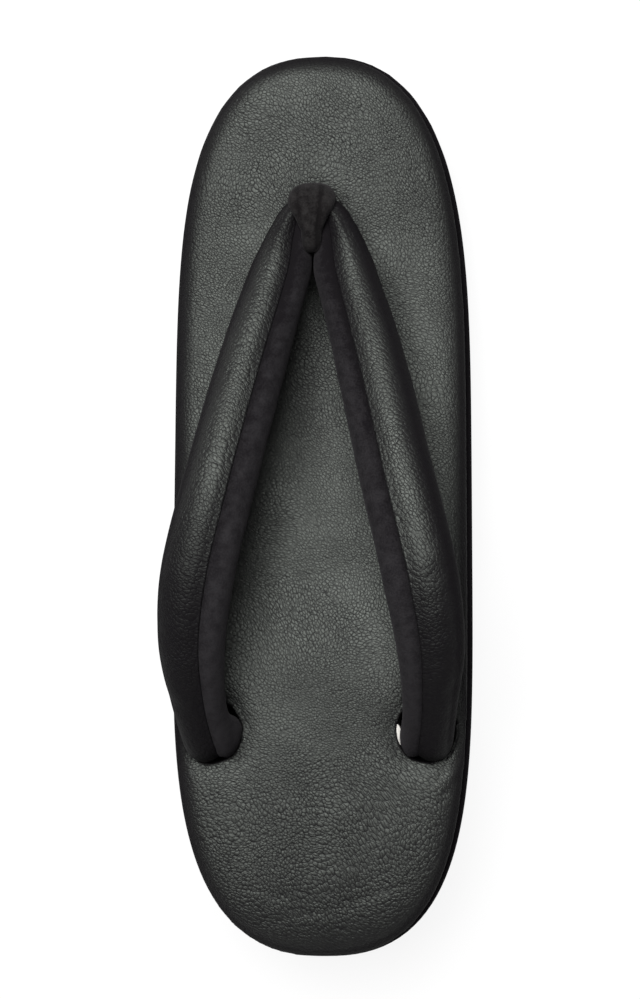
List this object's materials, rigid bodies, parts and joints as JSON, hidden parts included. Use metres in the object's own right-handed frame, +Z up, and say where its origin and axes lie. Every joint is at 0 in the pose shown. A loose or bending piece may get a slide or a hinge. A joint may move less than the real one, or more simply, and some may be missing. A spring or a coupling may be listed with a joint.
{
  "type": "zori sandal",
  "caption": "Zori sandal with an oval wedge sole, a padded grained leather top, and a stuffed leather V strap lined with velvet and held down by a cloth toe loop.",
  "frame": {"origin": "on the floor under the middle of the sole", "axes": "+X to the sandal's right, +Y to the toe, +Z up from the floor"},
  "size_m": [0.08, 0.24, 0.0696],
  "materials": {
    "grained_leather": "black pebble grain, satin",
    "strap_leather": "black pebble grain, satin",
    "velvet": "black short pile, matte",
    "outsole_rubber": "black, fine ribs, matte"
  },
  "bodies": {
    "root": {"outsole": "outsole_rubber", "sole_body": "grained_leather", "top_pad": "grained_leather", "strap_upper": "strap_leather", "strap_lining": "velvet", "toe_loop": "velvet"}
  },
  "joints": []
}
